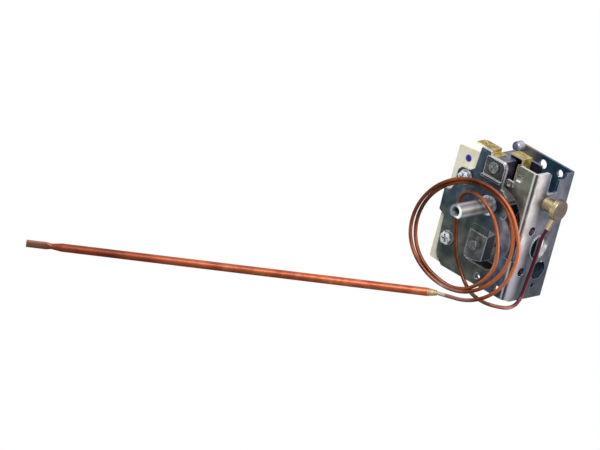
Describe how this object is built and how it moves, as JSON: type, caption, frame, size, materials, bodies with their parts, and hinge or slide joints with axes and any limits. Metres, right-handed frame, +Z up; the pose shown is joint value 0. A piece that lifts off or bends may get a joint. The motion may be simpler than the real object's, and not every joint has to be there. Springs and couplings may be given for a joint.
{
  "type": "oven thermostat",
  "caption": "Capillary oven thermostat: open steel frame with a hollow shaft, snap switch, brass power element, coiled copper capillary and a long sensing bulb.",
  "frame": {"origin": "where the shaft axis meets the front face of the frame, which is the face that goes against the control panel", "axes": "-Y forward along the shaft, towards the knob; +Z up; +X towards the power element"},
  "size_m": [0.1583, 0.1533, 0.0848],
  "materials": {
    "plated_steel": "zinc plated sheet",
    "bright_steel": "bright plated",
    "spring_steel": "music wire",
    "brass": "plain brass",
    "element_brass": "dull brass",
    "contact_silver": "silver",
    "blade_bronze": "spring bronze",
    "black_phenolic": "moulded",
    "white_ceramic": "unglazed",
    "cream_sheet": "smooth fibre sheet",
    "copper": "drawn copper",
    "solder": "tinned"
  },
  "bodies": {
    "housing": {"frame": "plated_steel", "insulator_sheet": "cream_sheet", "plate_screws": "bright_steel", "plate_nuts": "bright_steel", "switch_clip": "plated_steel", "clip_screw": "bright_steel", "switch_base": "black_phenolic", "line_terminal": "brass", "load_terminal": "brass", "fixed_contact": "contact_silver", "blade_pin": "bright_steel", "shaft_bushing": "bright_steel", "calibration_bracket": "plated_steel", "bracket_screw": "bright_steel", "bracket_post": "bright_steel", "rear_stud": "bright_steel", "element_neck": "element_brass", "element_nut": "element_brass", "element_cup": "element_brass", "range_pin": "bright_steel", "main_pin": "bright_steel", "capillary_ferrule": "element_brass", "capillary_lead": "copper", "capillary_coil": "copper", "capillary_tail": "copper", "bulb": "copper", "bulb_neck": "solder"},
    "shaft_set": {"shaft": "bright_steel", "calibration_screw": "brass", "cam": "bright_steel", "thrust_washer": "bright_steel", "e_clip": "bright_steel"},
    "range_arm": {"range_lever": "plated_steel", "range_spring": "spring_steel"},
    "main_arm": {"main_lever": "plated_steel"},
    "plunger_body": {"plunger": "bright_steel"},
    "button_body": {"switch_button": "white_ceramic"},
    "blade_body": {"snap_blade": "blade_bronze", "moving_contact": "contact_silver"}
  },
  "joints": [
    {"name": "shaft_turn", "type": "hinge", "parent": "housing", "child": "shaft_set", "pos_m": [0, 0, 0], "axis": [0, 1, 0], "range_deg": [0, 270]},
    {"name": "range_tilt", "type": "hinge", "parent": "housing", "child": "range_arm", "pos_m": [0.0072, 0.0082, -0.0085], "axis": [0, 1, 0], "range_deg": [0, 8.05], "deforming": ["range_spring"]},
    {"name": "plunger_slide", "type": "slide", "parent": "housing", "child": "plunger_body", "axis": [-1, 0, 0], "range_m": [0, 0.00038]},
    {"name": "lever_tilt", "type": "hinge", "parent": "housing", "child": "main_arm", "pos_m": [0.013, 0.0115, -0.009], "axis": [0, -1, 0], "range_deg": [0, 1.26]},
    {"name": "button_slide", "type": "slide", "parent": "housing", "child": "button_body", "axis": [-1, 0, 0], "range_m": [0, 0.00046]},
    {"name": "blade_tilt", "type": "hinge", "parent": "housing", "child": "blade_body", "pos_m": [0.00145, 0.0132, 0.0087], "axis": [0, -1, 0], "range_deg": [0, 8]}
  ],
  "couplings": [
    {"joint": "range_tilt", "follows": "shaft_turn", "ratio": 0.0298},
    {"joint": "lever_tilt", "follows": "plunger_slide", "rad_per_m": 57.47},
    {"joint": "button_slide", "follows": "plunger_slide", "ratio": 1.2069},
    {"joint": "blade_tilt", "follows": "plunger_slide", "rad_per_m": 365.7}
  ]
}
